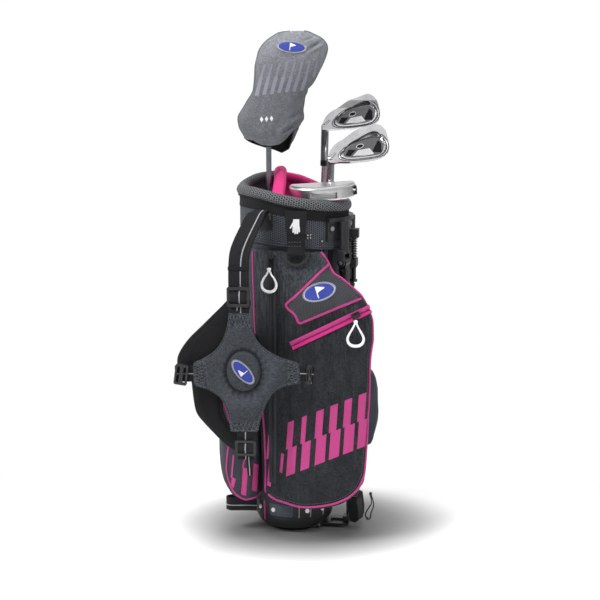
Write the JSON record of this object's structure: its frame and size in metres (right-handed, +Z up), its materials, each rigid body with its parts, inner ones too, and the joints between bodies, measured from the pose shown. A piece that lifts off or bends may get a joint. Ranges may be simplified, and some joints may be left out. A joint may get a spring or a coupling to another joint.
{
  "type": "junior golf club set in a stand bag",
  "caption": "Junior golf club set: charcoal and pink stand bag with folding legs, pockets and a padded carry harness, holding irons, a putter and a driver under a headcover.",
  "frame": {"origin": "centre of the round sole pad, on the ground", "axes": "+Z up the bag; +X towards the folding legs' side; -Y towards the front pocket; legs swing out about 8 degrees from +X towards -Y"},
  "size_m": [0.3311, 0.2442, 0.785],
  "materials": {
    "badge": "satin",
    "black_plastic": "matte",
    "black_rubber": "matte",
    "black_webbing": "matte",
    "charcoal_fabric": "matte",
    "chrome_head": "polished",
    "dark_metal": "satin",
    "divider": "matte",
    "driver_paint": "gloss",
    "ferrule": "gloss",
    "grip_rubber": "matte",
    "heather_fabric": "matte",
    "leg_metal": "satin",
    "mesh_fabric": "matte",
    "pink_mesh": "matte",
    "pink_zip": "matte",
    "putter_metal": "satin",
    "rivet_steel": "polished",
    "shaft": "gloss",
    "steel": "satin",
    "steel_shaft": "polished",
    "white_pull": "satin",
    "zip_tape": "matte"
  },
  "bodies": {
    "bag": {"base_boot": "black_plastic", "base_sole_pad": "black_rubber", "rivets": "rivet_steel", "body_shell": "charcoal_fabric", "frame_stays": "black_plastic", "cuff_collar": "mesh_fabric", "cuff_padding": "mesh_fabric", "divider_padding": "pink_mesh", "divider_sheet": "divider", "apparel_pocket": "charcoal_fabric", "ball_pocket": "charcoal_fabric", "bottle_pocket": "charcoal_fabric", "pocket_badge": "badge", "apparel_zip_tape": "zip_tape", "cargo_zip_tape": "pink_zip", "glove_tab": "black_webbing", "stand_bracket": "black_plastic", "guide_post": "dark_metal", "hinge_pins": "steel", "return_spring": "steel", "leg_cord": "black_webbing", "lower_webbing": "black_webbing", "strap_anchor": "dark_metal"},
    "base_plate": {"base_lever": "black_plastic"},
    "actuator": {"push_rod": "dark_metal", "crosshead": "black_plastic"},
    "near_leg": {"near_leg_hub": "black_plastic", "near_leg_tube": "leg_metal", "near_leg_foot": "black_rubber"},
    "far_leg": {"far_leg_hub": "black_plastic", "far_leg_tube": "leg_metal", "far_leg_foot": "black_rubber"},
    "harness": {"yoke_pad": "heather_fabric", "yoke_badge": "badge", "left_shoulder_strap": "black_webbing", "lower_shoulder_strap": "black_webbing", "strap_buckles": "black_plastic", "harness_webbing": "black_webbing"},
    "apparel_slider": {"apparel_zip_slider": "dark_metal"},
    "apparel_pull": {"apparel_zip_pull": "white_pull"},
    "cargo_slider": {"cargo_zip_slider": "dark_metal"},
    "cargo_pull": {"cargo_zip_pull": "white_pull"},
    "towel_loop": {"towel_ring": "black_plastic"},
    "driver": {"driver_head": "driver_paint", "driver_ferrule": "ferrule", "driver_shaft": "shaft", "driver_grip": "grip_rubber"},
    "headcover": {"driver_headcover": "heather_fabric"},
    "iron_a": {"iron_a_head": "chrome_head", "iron_a_ferrule": "ferrule", "iron_a_shaft": "steel_shaft", "iron_a_grip": "grip_rubber"},
    "iron_b": {"iron_b_head": "chrome_head", "iron_b_ferrule": "ferrule", "iron_b_shaft": "steel_shaft", "iron_b_grip": "grip_rubber"},
    "putter": {"putter_head": "putter_metal", "putter_shaft": "steel_shaft", "putter_grip": "grip_rubber"}
  },
  "joints": [
    {"name": "near_leg_swing", "type": "hinge", "parent": "bag", "child": "near_leg", "pos_m": [0.07644, -0.05972, 0.438], "axis": [-0.5422, -0.8348, -0.0953], "range_deg": [0, 29]},
    {"name": "far_leg_swing", "type": "hinge", "parent": "bag", "child": "far_leg", "pos_m": [0.08994, 0.03634, 0.438], "axis": [0.2911, -0.9519, 0.0953], "range_deg": [0, 29]},
    {"name": "actuator_slide", "type": "slide", "parent": "bag", "child": "actuator", "axis": [0, 0, 1], "range_m": [0, 0.0142], "deforming": ["return_spring"]},
    {"name": "base_lever_tilt", "type": "hinge", "parent": "bag", "child": "base_plate", "pos_m": [0.04357, -0.00612, 0.0065], "axis": [-0.1392, -0.9903, 0], "range_deg": [0, 19.5]},
    {"name": "apparel_zip_slide", "type": "slide", "parent": "bag", "child": "apparel_slider", "axis": [0, 0, -1], "range_m": [0, 0.335]},
    {"name": "apparel_pull_swing", "type": "hinge", "parent": "apparel_slider", "child": "apparel_pull", "pos_m": [-0.03793, -0.09023, 0.4405], "axis": [-0.7542, 0.6566, 0], "range_deg": [0, 24]},
    {"name": "cargo_zip_slide", "type": "slide", "parent": "bag", "child": "cargo_slider", "axis": [-0.9004, 0.0214, -0.4345], "range_m": [0, 0.082]},
    {"name": "cargo_pull_swing", "type": "hinge", "parent": "cargo_slider", "child": "cargo_pull", "pos_m": [0.09275, -0.11614, 0.36431], "axis": [-0.9004, 0.0214, -0.4345], "range_deg": [0, 45]},
    {"name": "towel_ring_swing", "type": "hinge", "parent": "bag", "child": "towel_loop", "pos_m": [0.003, -0.0924, 0.4556], "axis": [-1, 0, 0], "range_deg": [0, 80]},
    {"name": "strap_swing", "type": "hinge", "parent": "bag", "child": "harness", "pos_m": [-0.04921, -0.0795, 0.517], "axis": [-0.8503, 0.5264, 0], "range_deg": [0, 30]},
    {"name": "driver_lift", "type": "slide", "parent": "bag", "child": "driver", "axis": [-0.0015, 0, 1], "range_m": [0, 0.25]},
    {"name": "headcover_lift", "type": "slide", "parent": "driver", "child": "headcover", "axis": [0.22, 0, 0.9755], "range_m": [0, 0.16]},
    {"name": "iron_a_lift", "type": "slide", "parent": "bag", "child": "iron_a", "axis": [0.0244, 0.0314, 0.9992], "range_m": [0, 0.25]},
    {"name": "iron_b_lift", "type": "slide", "parent": "bag", "child": "iron_b", "axis": [0.0272, 0.0279, 0.9992], "range_m": [0, 0.25]},
    {"name": "putter_lift", "type": "slide", "parent": "bag", "child": "putter", "axis": [0.0117, -0.0078, 0.9999], "range_m": [0, 0.04]}
  ],
  "couplings": [
    {"joint": "far_leg_swing", "follows": "near_leg_swing", "ratio": 1},
    {"joint": "actuator_slide", "follows": "near_leg_swing", "m_per_rad": 0.02766},
    {"joint": "base_lever_tilt", "follows": "near_leg_swing", "ratio": 0.65517}
  ]
}
